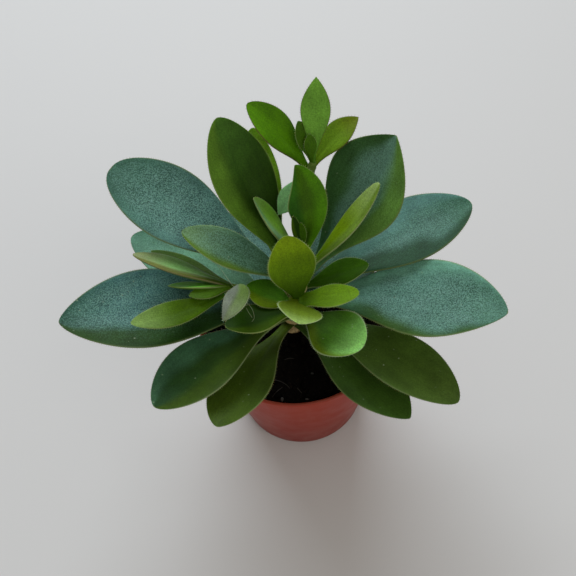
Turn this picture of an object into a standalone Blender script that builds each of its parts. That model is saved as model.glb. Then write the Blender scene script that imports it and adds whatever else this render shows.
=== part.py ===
"""A young flat-leaved succulent in a small round plastic nursery pot.

Units are metres and +Z is up. The sizes below are written in millimetres and
turned into metres by MM. The origin is the middle of the pot's flat base. The
front of the plant, where its pale side shoot grows, faces -Y.

The plant is one main stem that stands in the soil, large leaves that sit
round it in pairs, a tuft of young leaves at its top, and three leafy side
shoots. A large leaf is a sub-part of its own. A shoot is one sub-part: its
stem with its leaves joined to it.
"""

import math
from dataclasses import dataclass, replace

import bmesh
import bpy
from mathutils import Vector

MM = 0.001

# Pot: a tapered cup with a thin wall and a rounded lip
POT_RIM_RADIUS = 27.5
POT_BASE_RADIUS = 20.0
POT_HEIGHT = 48.0
POT_WALL = 1.0
POT_FLOOR = 1.4
POT_CORNER = 1.2
POT_STEPS = 64
DRAIN_HOLE_RADIUS = 1.8
DRAIN_HOLE_CIRCLE = 14.0
DRAIN_HOLE_COUNT = 6

# Neighbouring pieces keep this gap, and cutters run past what they cut by this
GAP = 0.3
CUTTER_REACH = 1.0
CUTTER_SIDES = 20

# Soil: fills the pot to just under its lip, a little higher round the stem
SOIL_SIDE_GAP = 0.4
SOIL_EDGE_HEIGHT = 44.6
SOIL_SHOULDER_HEIGHT = 44.9
SOIL_SHOULDER_WIDTH = 1.2
SOIL_CROWN_HEIGHT = 45.6
SOIL_CROWN_RADIUS = 12.0
SOIL_MIDDLE_HEIGHT = 45.8
SOIL_STEPS = 48

# Main stem: upright in the soil, then leaning a little to the right
STEM_FOOT_HEIGHT = 24.0
STEM_RADIUS = 2.9
STEM_TOP_RADIUS = 2.2
STEM_POINTS = [
    (-0.8, -2.0, STEM_FOOT_HEIGHT),
    (-0.8, -2.0, 36.0),
    (-0.8, -2.0, 47.0),
    (-0.5, -4.0, 57.0),
    (1.2, -4.8, 66.0),
    (2.2, -4.3, 72.5),
]
STEM_SIDES = 12
STEM_STATIONS = 20

# Facets of the side stems
SIDE_STEM_SIDES = 8
SIDE_STEM_STATIONS = 9

# Facets of a leaf: large ones on the main stem, small ones on the shoots
LARGE_LEAF_RINGS = 11
LARGE_LEAF_SIDES = 12
SMALL_LEAF_RINGS = 8
SMALL_LEAF_SIDES = 8
MIDRIB_STATIONS = 40
PATH_STEPS = 24
ROOT_STATIONS = 400
SHARP_EDGE_DEGREES = 50

# Outline of a leaf: how round its lower half is, and how fast its foot narrows
OUTLINE_POWER = 1.3
FOOT_POWER = 3

# Section of a leaf: a flat ellipse whose rims stand up a little from a third of its length on
CUP_LEVEL = 0.35
CUP_START = 1 / 3

# Thickness of a leaf: even over most of its length, thinner at the tip, full at the root
THICKNESS_SHIFT = 0.8
THICKNESS_POWER = 0.45
THICKNESS_LOSS = 0.35
ROOT_THICKNESS = 0.8
ROOT_POWER = 6


@dataclass(frozen=True)
class Leaf:
    """One leaf blade, in millimetres and degrees.

    at is where its root sits: a height on the main stem, or a share of the
    length of a side stem. azimuth is its heading seen from above, counted
    from +X towards +Y. pitch is how far it rises at its root, and bend is
    added to that by its tip. swing turns the heading on the way to the tip,
    and roll turns the blade about its midrib.
    """

    name: str
    at: float
    azimuth: float
    pitch: float
    bend: float
    roll: float
    length: float
    width: float
    thickness: float = 2.2
    swing: float = 0.0
    cup: float = 0.2
    widest: float = 0.64
    tip: float = 0.62
    foot: float = 0.22


# Large leaves of the main stem, from the lowest pair up
LARGE_LEAVES = [
    Leaf("leaf_front_left", 51, -123, 24, -10, 8, 43, 15, swing=5, widest=0.70, foot=0.26),
    Leaf("leaf_front_right", 51, -53, 16, -18, -5, 44, 15.6, widest=0.66, tip=0.75),
    Leaf("leaf_back_left_low", 52, 118, 14, -10, 0, 40, 16),
    Leaf("leaf_left_low", 55, 147, 12, -10, 0, 52.3, 18),
    Leaf("leaf_right_front", 56, -33.4, 15, -16, -5, 50.5, 16, swing=-16.5, widest=0.68, foot=0.3),
    Leaf("leaf_back_right_low", 60, 43.5, 13, -10, 0, 39, 23, widest=0.5, foot=0.3),
    Leaf("leaf_left_front", 59, -145, 20, -20, 5, 46, 17, swing=5, widest=0.70, foot=0.32),
    Leaf("leaf_left", 63, -173, 23, -18, 0, 60, 23, tip=0.7, foot=0.14),
    Leaf("leaf_right", 64, -10, 17.4, -3, 4, 53.8, 21.8, swing=-22, widest=0.65, tip=0.7, foot=0.2),
    Leaf("leaf_back_narrow", 64, 119, 54, 0, 0, 46.5, 10, thickness=1.8, swing=-32, widest=0.72),
    Leaf("leaf_right_upper", 68.6, 18.5, 14.8, -9, 0, 50, 19.2, widest=0.65, foot=0.22),
    Leaf("leaf_right_small", 69.5, -5.5, 35, -10, 0, 20, 7.8, thickness=1.8),
    Leaf("leaf_left_upper", 69, 150.7, 31, -10, 0, 56, 20.9, swing=-3, widest=0.70, tip=0.5, foot=0.13),
    Leaf(
        "leaf_back_right", 70.8, 23.2, 49.5, 10, 4, 46.4, 22.6, swing=6.5, widest=0.7, tip=0.85, foot=0.12
    ),
    Leaf("leaf_left_young", 71.2, 164.5, 39, -14, -6, 33, 10, foot=0.25),
    Leaf("leaf_back_left", 73.2, 134, 51, 10, 0, 45.5, 15.5, swing=-16, widest=0.67, foot=0.12),
]

# Tuft at the top of the main stem, on its green tip
TOP_STEM_POINTS = [(2.2, -4.2, 72.9), (2.8, -3.5, 78.5), (3.1, -2.8, 84.0)]
TOP_STEM_RADII = (2.2, 1.4)
TOP_LEAVES = [
    Leaf("low_right", 0.18, 2.5, 51, 4, -4, 33, 5.8, thickness=2.0, swing=22, tip=0.5),
    Leaf("back", 0.64, 29, 68, 0, 0, 27, 9.5, thickness=1.8, swing=116, tip=0.75),
    Leaf("left", 0.59, 148, 59, 0, 30, 22, 8.5, thickness=1.8),
    Leaf("bud_left", 0.9, 121, 78, 0, 0, 12, 2.3, thickness=1.4),
    Leaf("bud_back", 0.9, 74, 78, 0, 0, 9.5, 2.6, thickness=1.4),
]

# Front shoot: short, with pale round leaves
FRONT_STEM_POINTS = [(0.2, -5, 60), (1.0, -9.3, 66), (1.4, -13, 74), (1.2, -14.5, 80)]
FRONT_STEM_RADII = (1.7, 1.3)
FRONT_LEAVES = [
    Leaf("low_right", 0.45, -48, 13, 0, 0, 20.6, 14.3, thickness=1.6, tip=0.5),
    Leaf("low_left", 0.6, -164, 14, 0, 10, 19.6, 9.6, thickness=1.6),
    Leaf("mid_left", 0.62, 154, 15, 0, 0, 14.6, 8, thickness=1.6),
    Leaf("mid_right", 1.0, -7, 13, 0, 0, 14.4, 6.3, thickness=1.6, widest=0.55, tip=0.5, foot=0.75),
    Leaf("top_back", 0.95, 103, 64, 0, 0, 18, 11.5, thickness=1.6, widest=0.58, tip=0.55),
    Leaf("top_front", 0.97, -95, 30, 0, -20, 10.5, 10.8, thickness=1.6, cup=0.2, widest=0.52, foot=0.5),
]

# Left shoot: narrow leaves with brown tips
LEFT_STEM_POINTS = [(0.2, -5, 67), (-5, -6.2, 69.5), (-10.5, -6.6, 72.5), (-14.5, -6.5, 77)]
LEFT_STEM_RADII = (1.7, 1.2)
LEFT_LEAVES = [
    Leaf("back_low", 0.90, 152, 11, 0, 35, 24, 8, thickness=1.6),
    Leaf("back", 0.95, 165, 22, 0, 35, 26, 9, thickness=1.8),
    Leaf("middle", 0.98, -179, 14, 0, 40, 16, 5.5, thickness=1.6),
    Leaf("front_narrow", 0.96, -161, 19, 0, 0, 12, 4, thickness=1.4),
    Leaf("front", 0.92, -150, 6, 20, -15, 28, 6.4, thickness=1.8, swing=-10),
    Leaf("near", 0.90, -62, 72, -86, 0, 18.5, 5.6, thickness=1.8, swing=-73, tip=0.8),
]

# Back shoot: the longest side stem, with four upright leaves
BACK_STEM_POINTS = [(1.8, -4.5, 69.2), (2.4, 3.4, 75.2), (4.6, 9.4, 86), (7.8, 11, 99)]
BACK_STEM_RADII = (1.4, 1.3)
BACK_LEAVES = [
    Leaf("low_front", 0.95, -142, -33, 0, 0, 13.6, 6, thickness=1.6, tip=1.1),
    Leaf("left", 0.905, 148, 62, -30, 0, 22.3, 9.4, thickness=1.7),
    Leaf("right", 0.92, 35, 49, -30, 10, 16.8, 6.6, thickness=1.7, swing=-13, tip=0.85),
    Leaf("back", 0.98, 67, 66, 0, 0, 20.5, 6.8, thickness=1.7, swing=14, tip=0.9),
    Leaf("bud_left", 0.98, 118, 62, 0, 0, 11, 4, thickness=1.4),
    Leaf("bud_right", 0.98, 95, 74, 0, 0, 8, 3, thickness=1.4),
]

# Finishes: base colour, roughness
TERRACOTTA = ((0.52, 0.13, 0.07), 0.42)
PEAT = ((0.020, 0.014, 0.010), 0.95)
BARK = ((0.20, 0.13, 0.05), 0.7)
DARK_LEAF = ((0.050, 0.115, 0.035), 0.45)
BLUE_LEAF = ((0.075, 0.165, 0.110), 0.45)
YOUNG_LEAF = ((0.13, 0.22, 0.035), 0.45)
MID_LEAF = ((0.10, 0.17, 0.04), 0.45)
BLUE_LEAVES = {
    "leaf_left",
    "leaf_left_low",
    "leaf_left_upper",
    "leaf_left_young",
    "leaf_right",
    "leaf_right_upper",
}


def clear_scene():
    for item in list(bpy.data.objects):
        bpy.data.objects.remove(item, do_unlink=True)


def new_collection(name):
    collection = bpy.data.collections.new(name)
    bpy.context.scene.collection.children.link(collection)
    return collection


def principled(name, finish):
    colour, roughness = finish
    material = bpy.data.materials.new(name)
    material.use_nodes = True
    shader = material.node_tree.nodes["Principled BSDF"]
    shader.inputs["Base Color"].default_value = (*colour, 1.0)
    shader.inputs["Roughness"].default_value = roughness
    shader.inputs["Metallic"].default_value = 0.0
    return material


def add_object(name, data, collection):
    item = bpy.data.objects.new(name, data)
    collection.objects.link(item)
    return item


def finish(item, look):
    item.data.materials.clear()
    item.data.materials.append(principled(item.name, look))
    item.data.shade_smooth()
    item.data.set_sharp_from_angle(angle=math.radians(SHARP_EDGE_DEGREES))


def applied_mesh(item):
    """The mesh of an object with its modifiers applied."""
    bpy.context.view_layer.update()
    depsgraph = bpy.context.evaluated_depsgraph_get()
    return bpy.data.meshes.new_from_object(item.evaluated_get(depsgraph))


def apply_modifiers(item):
    mesh = applied_mesh(item)
    item.modifiers.clear()
    item.data = mesh


def turned(name, profile, steps, collection):
    """A turned body from a profile of (radius, height) in millimetres, inside first."""
    mesh = bpy.data.meshes.new(name)
    points = [(radius * MM, 0, height * MM) for radius, height in profile]
    edges = [(i, i + 1) for i in range(len(points) - 1)]
    mesh.from_pydata(points, edges, [])
    item = add_object(name, mesh, collection)
    screw = item.modifiers.new("turn", "SCREW")
    screw.axis = "Z"
    screw.steps = steps
    screw.render_steps = steps
    screw.use_merge_vertices = True
    screw.merge_threshold = 0.00001
    return item


def cutting_cylinder(name, radius, centre, bottom, top, collection):
    """A cutter: an upright round rod, kept out of the render."""
    shape = bmesh.new()
    bmesh.ops.create_cone(
        shape,
        cap_ends=True,
        segments=CUTTER_SIDES,
        radius1=radius * MM,
        radius2=radius * MM,
        depth=(top - bottom) * MM,
    )
    mesh = bpy.data.meshes.new(name)
    shape.to_mesh(mesh)
    shape.free()
    item = add_object(name, mesh, collection)
    item.location = (centre[0] * MM, centre[1] * MM, (top + bottom) / 2 * MM)
    return as_cutter(item)


def as_cutter(item):
    item.hide_render = True
    item.display_type = "WIRE"
    return item


def cut(item, cutter):
    """Cuts one object by another, with the exact solver."""
    boolean = item.modifiers.new("cut", "BOOLEAN")
    boolean.operation = "DIFFERENCE"
    boolean.solver = "EXACT"
    boolean.object = cutter


def smooth_path(points, stations):
    """Evenly spaced points along a smooth curve through the given points."""
    nodes = [Vector(p) for p in points]
    nodes = [2 * nodes[0] - nodes[1], *nodes, 2 * nodes[-1] - nodes[-2]]
    dense = []
    for before, start, end, after in zip(nodes, nodes[1:], nodes[2:], nodes[3:]):
        for step in range(PATH_STEPS):
            t = step / PATH_STEPS
            linear = (end - before) * t
            square = (2 * before - 5 * start + 4 * end - after) * t * t
            cubic = (3 * start - before - 3 * end + after) * t**3
            dense.append(start + (linear + square + cubic) / 2)
    dense.append(nodes[-2])
    reach = [0.0]
    for one, two in zip(dense, dense[1:]):
        reach.append(reach[-1] + (two - one).length)
    path = []
    for station in range(stations + 1):
        goal = reach[-1] * station / stations
        index = next(i for i in range(1, len(reach)) if reach[i] >= goal - 1e-9)
        share = (goal - reach[index - 1]) / (reach[index] - reach[index - 1])
        path.append(dense[index - 1].lerp(dense[index], min(share, 1.0)))
    return path


def point_at_share(points, share):
    path = smooth_path(points, ROOT_STATIONS)
    return path[round(share * ROOT_STATIONS)]


def point_at_height(height):
    """The point of the main stem's axis, with its green tip, at a height."""
    path = smooth_path([*STEM_POINTS, *TOP_STEM_POINTS], ROOT_STATIONS)
    return min(path, key=lambda p: abs(p.z - height))


def stem_tube(name, points, radii, sides, stations, collection):
    """A tapered round stem as a mesh, from a curve with a bevel and filled caps."""
    path = smooth_path(points, stations)
    curve = bpy.data.curves.new(name, "CURVE")
    curve.dimensions = "3D"
    curve.bevel_depth = 1.0 * MM
    curve.bevel_resolution = (sides - 4) // 2
    curve.use_fill_caps = True
    spline = curve.splines.new("POLY")
    spline.points.add(len(path) - 1)
    for index, (target, place) in enumerate(zip(spline.points, path)):
        target.co = (*(place * MM), 1.0)
        target.radius = radii[0] + (radii[1] - radii[0]) * index / stations
    item = add_object(name + "_curve", curve, collection)
    mesh = applied_mesh(item)
    mesh.name = name
    shape = bmesh.new()
    shape.from_mesh(mesh)
    bmesh.ops.remove_doubles(shape, verts=shape.verts, dist=0.000005)
    bmesh.ops.recalc_face_normals(shape, faces=shape.faces)
    shape.to_mesh(mesh)
    shape.free()
    tube = add_object(name, mesh, collection)
    tube.matrix_world = item.matrix_world
    bpy.data.objects.remove(item, do_unlink=True)
    return tube


def leaf_axes(leaf, t):
    """The midrib's heading, the blade's side and its upper normal at share t."""
    azimuth = math.radians(leaf.azimuth + leaf.swing * t)
    pitch = math.radians(leaf.pitch + leaf.bend * t)
    roll = math.radians(leaf.roll)
    level = Vector((math.cos(azimuth), math.sin(azimuth), 0))
    up = Vector((0, 0, 1))
    heading = math.cos(pitch) * level + math.sin(pitch) * up
    normal = math.cos(pitch) * up - math.sin(pitch) * level
    side = Vector((-math.sin(azimuth), math.cos(azimuth), 0))
    rolled_side = math.cos(roll) * side + math.sin(roll) * normal
    rolled_normal = math.cos(roll) * normal - math.sin(roll) * side
    return heading, rolled_side, rolled_normal


def midrib(leaf, root):
    """The midrib as a chain of points from the root to the tip."""
    points = [root.copy()]
    for step in range(MIDRIB_STATIONS):
        heading, _, _ = leaf_axes(leaf, (step + 0.5) / MIDRIB_STATIONS)
        points.append(points[-1] + heading * leaf.length / MIDRIB_STATIONS)
    return points


def along(points, t):
    place = t * (len(points) - 1)
    index = min(int(place), len(points) - 2)
    return points[index].lerp(points[index + 1], place - index)


def half_width(leaf, t):
    """Half the blade's width: widest past the middle, drawn in to a narrow foot."""
    power = math.log(0.5) / math.log(leaf.widest)
    roundness = OUTLINE_POWER + (leaf.tip - OUTLINE_POWER) * t
    swell = max(math.sin(math.pi * t**power), 0.0) ** roundness
    return leaf.width / 2 * (swell + leaf.foot * (1 - t) ** FOOT_POWER * (1 - swell))


def half_thickness(leaf, t):
    """Half the blade's thickness: full along most of it, thinner towards the tip."""
    bulge = max(math.sin(math.pi * t**THICKNESS_SHIFT), 0.0) ** THICKNESS_POWER
    body = bulge * (1 - THICKNESS_LOSS * t)
    root = ROOT_THICKNESS * (1 - t) ** ROOT_POWER
    return leaf.thickness / 2 * max(body, root)


def leaf_mesh(leaf, root, rings, sides):
    """A blade drawn from a sphere: its poles become the root and the tip."""
    chain = midrib(leaf, root)
    shape = bmesh.new()
    bmesh.ops.create_uvsphere(shape, u_segments=sides, v_segments=rings, radius=1.0)
    for vertex in shape.verts:
        t = min(max((1 + vertex.co.z) / 2, 0.0), 1.0)
        ring = math.hypot(vertex.co.x, vertex.co.y)
        across, lift = (vertex.co.x / ring, vertex.co.y / ring) if ring > 1e-6 else (0.0, 0.0)
        _, side, normal = leaf_axes(leaf, t)
        wide = half_width(leaf, t)
        rise = lift * half_thickness(leaf, t)
        if ring > 1e-6:
            rise += leaf.cup * wide * (across**2 - CUP_LEVEL) * min(1.0, t / CUP_START)
        vertex.co = (along(chain, t) + side * across * wide + normal * rise) * MM
    bmesh.ops.recalc_face_normals(shape, faces=shape.faces)
    bmesh.ops.triangulate(shape, faces=shape.faces)
    mesh = bpy.data.meshes.new(leaf.name)
    shape.to_mesh(mesh)
    shape.free()
    return mesh


def pot_radius(height):
    """Outer radius of the pot at a height."""
    return POT_BASE_RADIUS + (POT_RIM_RADIUS - POT_BASE_RADIUS) * height / POT_HEIGHT


def arc(centre, radius, turns):
    """Points of (radius, height) on a rounding, at angles in degrees."""
    points = []
    for turn in turns:
        angle = math.radians(turn)
        points.append((centre[0] + radius * math.cos(angle), centre[1] + radius * math.sin(angle)))
    return points


def make_pot(parts, cutters):
    lip = POT_WALL / 2
    lip_centre = (pot_radius(POT_HEIGHT) - lip, POT_HEIGHT - lip)
    corner_centre = (pot_radius(POT_CORNER) - POT_CORNER, POT_CORNER)
    profile = [
        (0, POT_FLOOR),
        (pot_radius(POT_FLOOR) - POT_WALL, POT_FLOOR),
        *arc(lip_centre, lip, (180, 135, 90, 45, 0)),
        *arc(corner_centre, POT_CORNER, (0, -30, -60, -90)),
        (0, 0),
    ]
    pot = turned("pot", profile, POT_STEPS, parts)
    top = POT_FLOOR + CUTTER_REACH
    for number in range(DRAIN_HOLE_COUNT):
        angle = 2 * math.pi * number / DRAIN_HOLE_COUNT
        centre = (DRAIN_HOLE_CIRCLE * math.cos(angle), DRAIN_HOLE_CIRCLE * math.sin(angle))
        name = f"drain_cutter_{number + 1}"
        cut(pot, cutting_cylinder(name, DRAIN_HOLE_RADIUS, centre, -CUTTER_REACH, top, cutters))
    apply_modifiers(pot)
    finish(pot, TERRACOTTA)


def make_soil(parts, cutters):
    """The soil, with a plain upright hole that the stem stands in."""
    bottom = POT_FLOOR + GAP
    inset = POT_WALL + SOIL_SIDE_GAP
    edge = pot_radius(SOIL_EDGE_HEIGHT) - inset
    profile = [
        (0, SOIL_MIDDLE_HEIGHT),
        (SOIL_CROWN_RADIUS, SOIL_CROWN_HEIGHT),
        (edge - SOIL_SHOULDER_WIDTH, SOIL_SHOULDER_HEIGHT),
        (edge, SOIL_EDGE_HEIGHT),
        (pot_radius(bottom) - inset, bottom),
        (0, bottom),
    ]
    soil = turned("soil", profile, SOIL_STEPS, parts)
    radius = STEM_RADIUS + GAP
    start = STEM_FOOT_HEIGHT - GAP
    top = SOIL_MIDDLE_HEIGHT + CUTTER_REACH
    cut(soil, cutting_cylinder("stem_hole_cutter", radius, STEM_POINTS[0], start, top, cutters))
    apply_modifiers(soil)
    finish(soil, PEAT)


def make_stem(parts, cutters):
    """The main stem, and the cutters that keep everything else clear of it and of its tip."""
    radii = (STEM_RADIUS, STEM_TOP_RADIUS)
    stem = stem_tube("main_stem", STEM_POINTS, radii, STEM_SIDES, STEM_STATIONS, parts)
    finish(stem, BARK)
    wider = (STEM_RADIUS + GAP, STEM_TOP_RADIUS + GAP)
    top = Vector(STEM_POINTS[-1]) + Vector((0, 0, GAP))
    longer = [*STEM_POINTS[:-1], tuple(top)]
    below = stem_tube("stem_clearance", longer, wider, STEM_SIDES, STEM_STATIONS, cutters)
    wider = (TOP_STEM_RADII[0] + GAP, TOP_STEM_RADII[1] + GAP)
    start = Vector(TOP_STEM_POINTS[0]) - Vector((0, 0, CUTTER_REACH))
    longer = [tuple(start), *TOP_STEM_POINTS]
    above = stem_tube("tip_clearance", longer, wider, STEM_SIDES, STEM_STATIONS, cutters)
    return as_cutter(below), as_cutter(above)


def make_large_leaves(parts, below, above):
    for leaf in LARGE_LEAVES:
        root = point_at_height(leaf.at)
        blade = add_object(
            leaf.name, leaf_mesh(leaf, root, LARGE_LEAF_RINGS, LARGE_LEAF_SIDES), parts
        )
        cut(blade, below)
        cut(blade, above)
        apply_modifiers(blade)
        finish(blade, BLUE_LEAF if leaf.name in BLUE_LEAVES else DARK_LEAF)


def make_shoot(name, points, radii, leaves, look, parts, clearance):
    """A side stem with its leaves joined to it in one body."""
    shoot = stem_tube(name, points, radii, SIDE_STEM_SIDES, SIDE_STEM_STATIONS, parts)
    blades = bpy.data.collections.new(name + "_leaves")
    for leaf in leaves:
        blade = replace(leaf, name=f"{name}_{leaf.name}")
        mesh = leaf_mesh(blade, point_at_share(points, leaf.at), SMALL_LEAF_RINGS, SMALL_LEAF_SIDES)
        blades.objects.link(bpy.data.objects.new(blade.name, mesh))
    bpy.context.scene.collection.children.link(blades)
    joining = shoot.modifiers.new("join", "BOOLEAN")
    joining.operation = "UNION"
    joining.solver = "EXACT"
    joining.operand_type = "COLLECTION"
    joining.collection = blades
    apply_modifiers(shoot)
    for blade in list(blades.objects):
        bpy.data.objects.remove(blade, do_unlink=True)
    bpy.data.collections.remove(blades)
    cut(shoot, clearance)
    apply_modifiers(shoot)
    finish(shoot, look)


def main():
    clear_scene()
    parts = new_collection("potted_plant")
    cutters = new_collection("cutters")
    make_pot(parts, cutters)
    make_soil(parts, cutters)
    clearance, tip_clearance = make_stem(parts, cutters)
    make_large_leaves(parts, clearance, tip_clearance)
    make_shoot("top_shoot", TOP_STEM_POINTS, TOP_STEM_RADII, TOP_LEAVES, MID_LEAF, parts, clearance)
    make_shoot(
        "front_shoot", FRONT_STEM_POINTS, FRONT_STEM_RADII, FRONT_LEAVES, YOUNG_LEAF, parts, clearance
    )
    make_shoot("left_shoot", LEFT_STEM_POINTS, LEFT_STEM_RADII, LEFT_LEAVES, MID_LEAF, parts, clearance)
    make_shoot("back_shoot", BACK_STEM_POINTS, BACK_STEM_RADII, BACK_LEAVES, MID_LEAF, parts, clearance)


main()
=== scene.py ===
"""Looks of a young flat-leaved succulent in a small round plastic nursery pot.

The tables of sizes are in millimetres and degrees, as in the part's own source.
MM turns millimetres into metres. Colours are linear red, green and blue.
"""

import math
import random
from dataclasses import dataclass, replace

import bmesh
import bpy
import numpy as np
from mathutils import Matrix, Vector, noise


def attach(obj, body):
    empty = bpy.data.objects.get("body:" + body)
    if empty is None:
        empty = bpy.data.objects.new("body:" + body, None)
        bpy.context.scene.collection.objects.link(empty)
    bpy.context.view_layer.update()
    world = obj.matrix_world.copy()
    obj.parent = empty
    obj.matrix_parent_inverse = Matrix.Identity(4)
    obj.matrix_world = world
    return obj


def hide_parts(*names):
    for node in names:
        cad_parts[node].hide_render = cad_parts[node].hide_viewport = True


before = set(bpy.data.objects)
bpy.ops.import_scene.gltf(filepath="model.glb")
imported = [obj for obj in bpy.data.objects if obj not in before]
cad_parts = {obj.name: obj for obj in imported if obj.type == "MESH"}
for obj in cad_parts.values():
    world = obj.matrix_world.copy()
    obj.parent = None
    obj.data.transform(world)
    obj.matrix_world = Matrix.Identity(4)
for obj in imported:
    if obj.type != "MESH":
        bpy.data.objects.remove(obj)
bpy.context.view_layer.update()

MM = 0.001
NOTHING = (0.0, 0.0, 0.0)

# Camera: from the front and well above, turned a little about its own axis
CAMERA_TARGET = (-1.1, 0.0, 63.2)
CAMERA_DISTANCE = 188.0
CAMERA_ELEVATION = 57.5
CAMERA_ROLL = -6.2
CAMERA_LENS = 44.0
CAMERA_SENSOR = 36.0
CAMERA_CLIP = (0.01, 20.0)

# Light: a pale room, and a broad window behind the plant
ROOM_COLOUR = (1.0, 0.94, 0.88)
ROOM_STRENGTH = 0.36
WINDOW_COLOUR = (0.86, 0.94, 1.0)
WINDOW_PLACE = (-0.12, 1.1, 1.2)
WINDOW_SIZE = (1.3, 1.0)
WINDOW_POWER = 20.0
FILL_COLOUR = (1.0, 0.96, 0.9)
FILL_PLACE = (0.45, -0.7, 0.9)
FILL_SIZE = (0.8, 0.8)
FILL_POWER = 2.4
FLOOR_COLOUR = (0.64, 0.635, 0.63)
FLOOR_ROUGHNESS = 0.6
FLOOR_SIDE = 6.0

# Noise lies mostly between these values
NOISE_SPREAD = (0.3, 0.7)

# Pot: a tapered cup with a thin wall and a rounded lip
POT_RIM_RADIUS = 27.5
POT_BASE_RADIUS = 20.0
POT_HEIGHT = 48.0
POT_WALL = 1.0
POT_FLOOR = 1.4
POT_CORNER = 1.2
POT_STEPS = 160
POT_ARC_STEPS = 6
POT_SHARP_ANGLE = 40
DRAIN_HOLE_RADIUS = 1.8
DRAIN_HOLE_CIRCLE = 14.0
DRAIN_HOLE_COUNT = 6
CUTTER_REACH = 1.0
CUTTER_SIDES = 32

# Plastic: painted shade, darker towards the foot; a painted highlight along the orange lip; dust
# and smears
PLASTIC_LOW = (0.225, 0.014, 0.004)
PLASTIC_HIGH = (0.35, 0.032, 0.012)
LIP_HIGHLIGHT_COLOUR = (0.3, 0.045, 0.022)
LIP_HIGHLIGHT_DEPTHS = (0.4, 0.05)
DUST_COLOUR = (0.38, 0.12, 0.08)
SMEAR_COLOUR = (0.42, 0.2, 0.15)

# Soil: crumbly peat with grey and pale grains and thin fibres on it
SOIL_SIDE_GAP = 0.4
SOIL_BOTTOM_GAP = 0.3
SOIL_EDGE_HEIGHT = 44.6
SOIL_CROWN_HEIGHT = 45.6
SOIL_STEPS = 140
SOIL_RINGS = 44
SOIL_LUMPS = ((4.5, 0.55), (1.6, 0.45), (0.7, 0.22))
CRUMB_COUNT = 260
CRUMB_SIZES = (0.35, 1.1)
CRUMB_SHADES = (0.5, 1.8)
LUMP_SUBDIVISIONS = 2
LUMP_ROUGHNESS = 0.45
LUMP_BUMPS = 1.3
LUMP_STRETCHES = (0.7, 1.3)
LUMP_VARIETY = 90
GRAIN_COUNT = 14
GRAIN_SIZES = (0.2, 0.5)
FIBRE_COUNT = 16
FIBRE_RADIUS = 0.11
FIBRE_LENGTHS = (3.0, 9.0)
FIBRE_STEP = 0.5
FIBRE_CURL = 0.35
FIBRE_WANDER = 0.12
FIBRE_SIDES = 6
FIBRE_TAPER = 0.25
FIBRE_TAPER_POWER = 0.4
FIBRE_FEWEST = 4
FIBRE_THINNING = 3
FIBRE_STEM_ROOM = 1
FIBRE_START_ROOM = 3
FIBRE_EDGE_ROOM = 1
# Painted shade: the peat's tint is darkened nearly to black, as the soil lies in shade under the
# leaves
PEAT_AND_SHADE_COLOUR = (0.0035, 0.0026, 0.002)
FLECK_COLOUR = (0.022, 0.013, 0.008)
# Painted shade: the grey grains are dimmed, as they lie in shade under the leaves
SHADED_GRAIN_GREYS = (0.01, 0.035)
GRAIN_TINT = (1.0, 0.97, 0.9)
FIBRE_COLOUR = (0.02, 0.016, 0.012)
PALE_GRAINS = [(-5.96, -23.6), (0.97, -24.2)]
PALE_GRAIN_SIZE = 0.55
# Painted shade dims the pale grains too
PALE_GRAIN_COLOUR = (0.07, 0.066, 0.062)
LONG_FIBRES = [(-4.4, -12.2), (-1.8, -20.0)]

# Fine threads caught on the left shoot
THREADS = [
    [
        (-19.3, -1.6, 82.5),
        (-16.9, -4.6, 82.8),
        (-14.3, -9.4, 82.4),
        (-12.2, -11.5, 80.2),
        (-10.8, -13, 78),
    ],
    [(-10.8, -13, 78), (-10.1, -14.2, 77.4), (-9.9, -15.6, 76.2), (-10.6, -16.2, 75.4)],
    [(-11.6, -13.4, 77.4), (-11.0, -14.6, 76.8), (-10.4, -15.4, 76.0)],
]
THREAD_RADIUS = 0.05
THREAD_SIDES = 6
THREAD_STATIONS = 24
THREAD_COLOUR = (0.26, 0.32, 0.18)

# Stems, as paths with a radius at each end
STEM_POINTS = [
    (-0.8, -2.0, 24.0),
    (-0.8, -2.0, 36.0),
    (-0.8, -2.0, 47.0),
    (-0.5, -4.0, 57.0),
    (1.2, -4.8, 66.0),
    (2.2, -4.3, 72.5),
]
STEM_RADII = (2.9, 2.2)
TOP_STEM_POINTS = [(2.2, -4.2, 72.9), (2.8, -3.5, 78.5), (3.1, -2.8, 84.0)]
TOP_STEM_RADII = (2.2, 1.4)
FRONT_STEM_POINTS = [(0.2, -5, 60), (1.0, -9.3, 66), (1.4, -13, 74), (1.2, -14.5, 80)]
FRONT_STEM_RADII = (1.7, 1.3)
LEFT_STEM_POINTS = [(0.2, -5, 67), (-5, -6.2, 69.5), (-10.5, -6.6, 72.5), (-14.5, -6.5, 77)]
LEFT_STEM_RADII = (1.7, 1.2)
BACK_STEM_POINTS = [(1.8, -4.5, 69.2), (2.4, 3.4, 75.2), (4.6, 9.4, 86), (7.8, 11, 99)]
BACK_STEM_RADII = (1.4, 1.3)
STEM_PLACE = (-0.8, -2.0)
STEM_SIDES = 28
STEM_RINGS_PER_MM = 2.2
STEM_END_STEPS = 3
STEM_END_SHARE = 0.6
RIDGE_SPACING = 4.2
RIDGE_WIDTH = 0.16
RIDGE_HEIGHT = 0.22
STEM_RIDGE_SHARE = 1.0
SHOOT_RIDGE_SHARE = 0.3
STEM_WOBBLE = 0.14
STEM_WOBBLE_LENGTH = 1.7
# Painted light: the bark tints are lightened where the stem stands in deep shade under the leaves
STEM_LOW_LIT_COLOUR = (0.56, 0.36, 0.2)
STEM_HIGH_LIT_COLOUR = (0.62, 0.54, 0.22)
BARK_PATCH_COLOUR = (0.5, 0.26, 0.1)
SHOOT_LOW_COLOUR = (0.12, 0.12, 0.03)
SHOOT_HIGH_COLOUR = (0.13, 0.22, 0.04)
PATH_STEPS = 24
ROOT_STATIONS = 400
SIDE_HINT = (0.0, 1.0, 0.13)

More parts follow.
